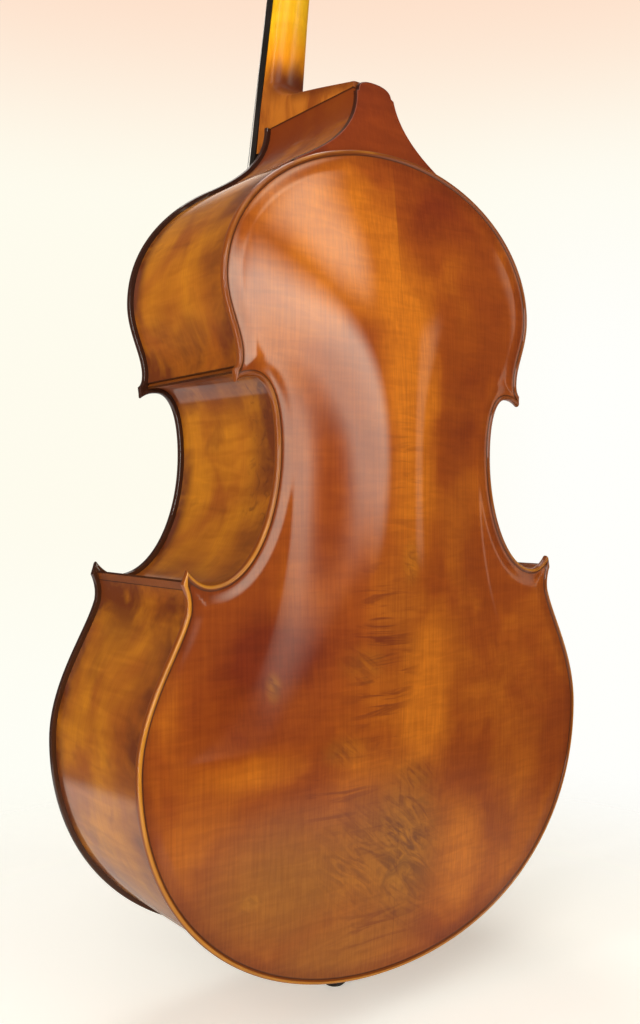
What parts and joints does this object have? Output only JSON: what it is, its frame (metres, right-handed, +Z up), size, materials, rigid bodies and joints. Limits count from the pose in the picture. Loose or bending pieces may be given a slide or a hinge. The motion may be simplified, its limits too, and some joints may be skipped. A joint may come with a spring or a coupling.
{
  "type": "double bass",
  "caption": "Double bass with a carved round back, sloping shoulders and violin corners, geared tuning machines and a sliding end pin.",
  "frame": {"origin": "middle of the rubber foot's underside, on the end pin's axis, with the end pin pushed in", "axes": "+Z up along the body, -Y the way the top and strings face, +Y the way the back faces, +X the treble side"},
  "size_m": [0.68, 0.416, 1.8209],
  "materials": {
    "back": "glossy reddish-brown varnish over figured maple",
    "ribs": "glossy amber varnish over flamed maple",
    "top": "glossy amber varnish over straight-grained spruce",
    "inner_wood": "bare sawn wood",
    "neck": "oiled golden maple, darker at the heel",
    "ebony": "polished ebony",
    "bridge": "bare maple",
    "strings": "flat-wound steel",
    "steel": "nickel-plated steel",
    "rubber": "black rubber",
    "brass": "aged brass"
  },
  "bodies": {
    "body": {"back_bass": "back", "back_treble": "back", "lower_rib_bass": "ribs", "lower_rib_treble": "ribs", "middle_rib_bass": "ribs", "middle_rib_treble": "ribs", "upper_rib_bass": "ribs", "upper_rib_treble": "ribs", "shoulder_cap": "ribs", "top_bass": "top", "top_treble": "top", "back_linings": "inner_wood", "top_linings": "inner_wood", "corner_blocks": "inner_wood", "neck_block": "inner_wood", "end_block": "inner_wood", "bass_bar": "inner_wood", "sound_post": "inner_wood", "neck": "neck", "head": "neck", "fingerboard": "ebony", "nut": "ebony", "tailpiece": "ebony", "saddle": "ebony", "endpin_socket": "ebony", "bridge": "bridge", "string_e": "strings", "string_a": "strings", "string_d": "strings", "string_g": "strings", "tail_wire": "strings", "endpin_collar": "steel", "machine_plate_e": "brass", "machine_plate_g": "brass", "machine_plate_a": "brass", "machine_plate_d": "brass", "machine_screws": "brass"},
    "endpin": {"endpin_rod": "steel", "endpin_foot": "rubber"},
    "thumb": {"thumb_screw": "steel"},
    "key_e": {"tuning_key_e": "brass"},
    "roller_e": {"gear_wheel_e": "brass", "string_roller_e": "steel"},
    "key_g": {"tuning_key_g": "brass"},
    "roller_g": {"gear_wheel_g": "brass", "string_roller_g": "steel"},
    "key_a": {"tuning_key_a": "brass"},
    "roller_a": {"gear_wheel_a": "brass", "string_roller_a": "steel"},
    "key_d": {"tuning_key_d": "brass"},
    "roller_d": {"gear_wheel_d": "brass", "string_roller_d": "steel"}
  },
  "joints": [
    {"name": "endpin_slide", "type": "slide", "parent": "body", "child": "endpin", "axis": [0, 0, -1], "range_m": [0, 0.3]},
    {"name": "thumb_turn", "type": "hinge", "parent": "body", "child": "thumb", "pos_m": [0, -0.017, 0.035], "axis": [0, -1, 0], "range_deg": [0, 360]},
    {"name": "key_turn_e", "type": "hinge", "parent": "body", "child": "key_e", "pos_m": [-0.0364, -0.04365, 1.57951], "axis": [0, 0.9854, -0.1702], "continuous": true},
    {"name": "roller_turn_e", "type": "hinge", "parent": "body", "child": "roller_e", "pos_m": [0, -0.04042, 1.59821], "axis": [1, 0, 0], "continuous": true},
    {"name": "key_turn_g", "type": "hinge", "parent": "body", "child": "key_g", "pos_m": [0.0364, -0.03616, 1.62287], "axis": [0, 0.9854, -0.1702], "continuous": true},
    {"name": "roller_turn_g", "type": "hinge", "parent": "body", "child": "roller_g", "pos_m": [0, -0.03293, 1.64156], "axis": [1, 0, 0], "continuous": true},
    {"name": "key_turn_a", "type": "hinge", "parent": "body", "child": "key_a", "pos_m": [-0.0364, -0.02867, 1.66623], "axis": [0, 0.9854, -0.1702], "continuous": true},
    {"name": "roller_turn_a", "type": "hinge", "parent": "body", "child": "roller_a", "pos_m": [0, -0.02545, 1.68492], "axis": [1, 0, 0], "continuous": true},
    {"name": "key_turn_d", "type": "hinge", "parent": "body", "child": "key_d", "pos_m": [0.0364, -0.02118, 1.70959], "axis": [0, 0.9854, -0.1702], "continuous": true},
    {"name": "roller_turn_d", "type": "hinge", "parent": "body", "child": "roller_d", "pos_m": [0, -0.01796, 1.72828], "axis": [1, 0, 0], "continuous": true}
  ],
  "couplings": [
    {"joint": "roller_turn_e", "follows": "key_turn_e", "ratio": 0.05},
    {"joint": "roller_turn_g", "follows": "key_turn_g", "ratio": -0.05},
    {"joint": "roller_turn_a", "follows": "key_turn_a", "ratio": 0.05},
    {"joint": "roller_turn_d", "follows": "key_turn_d", "ratio": -0.05}
  ]
}
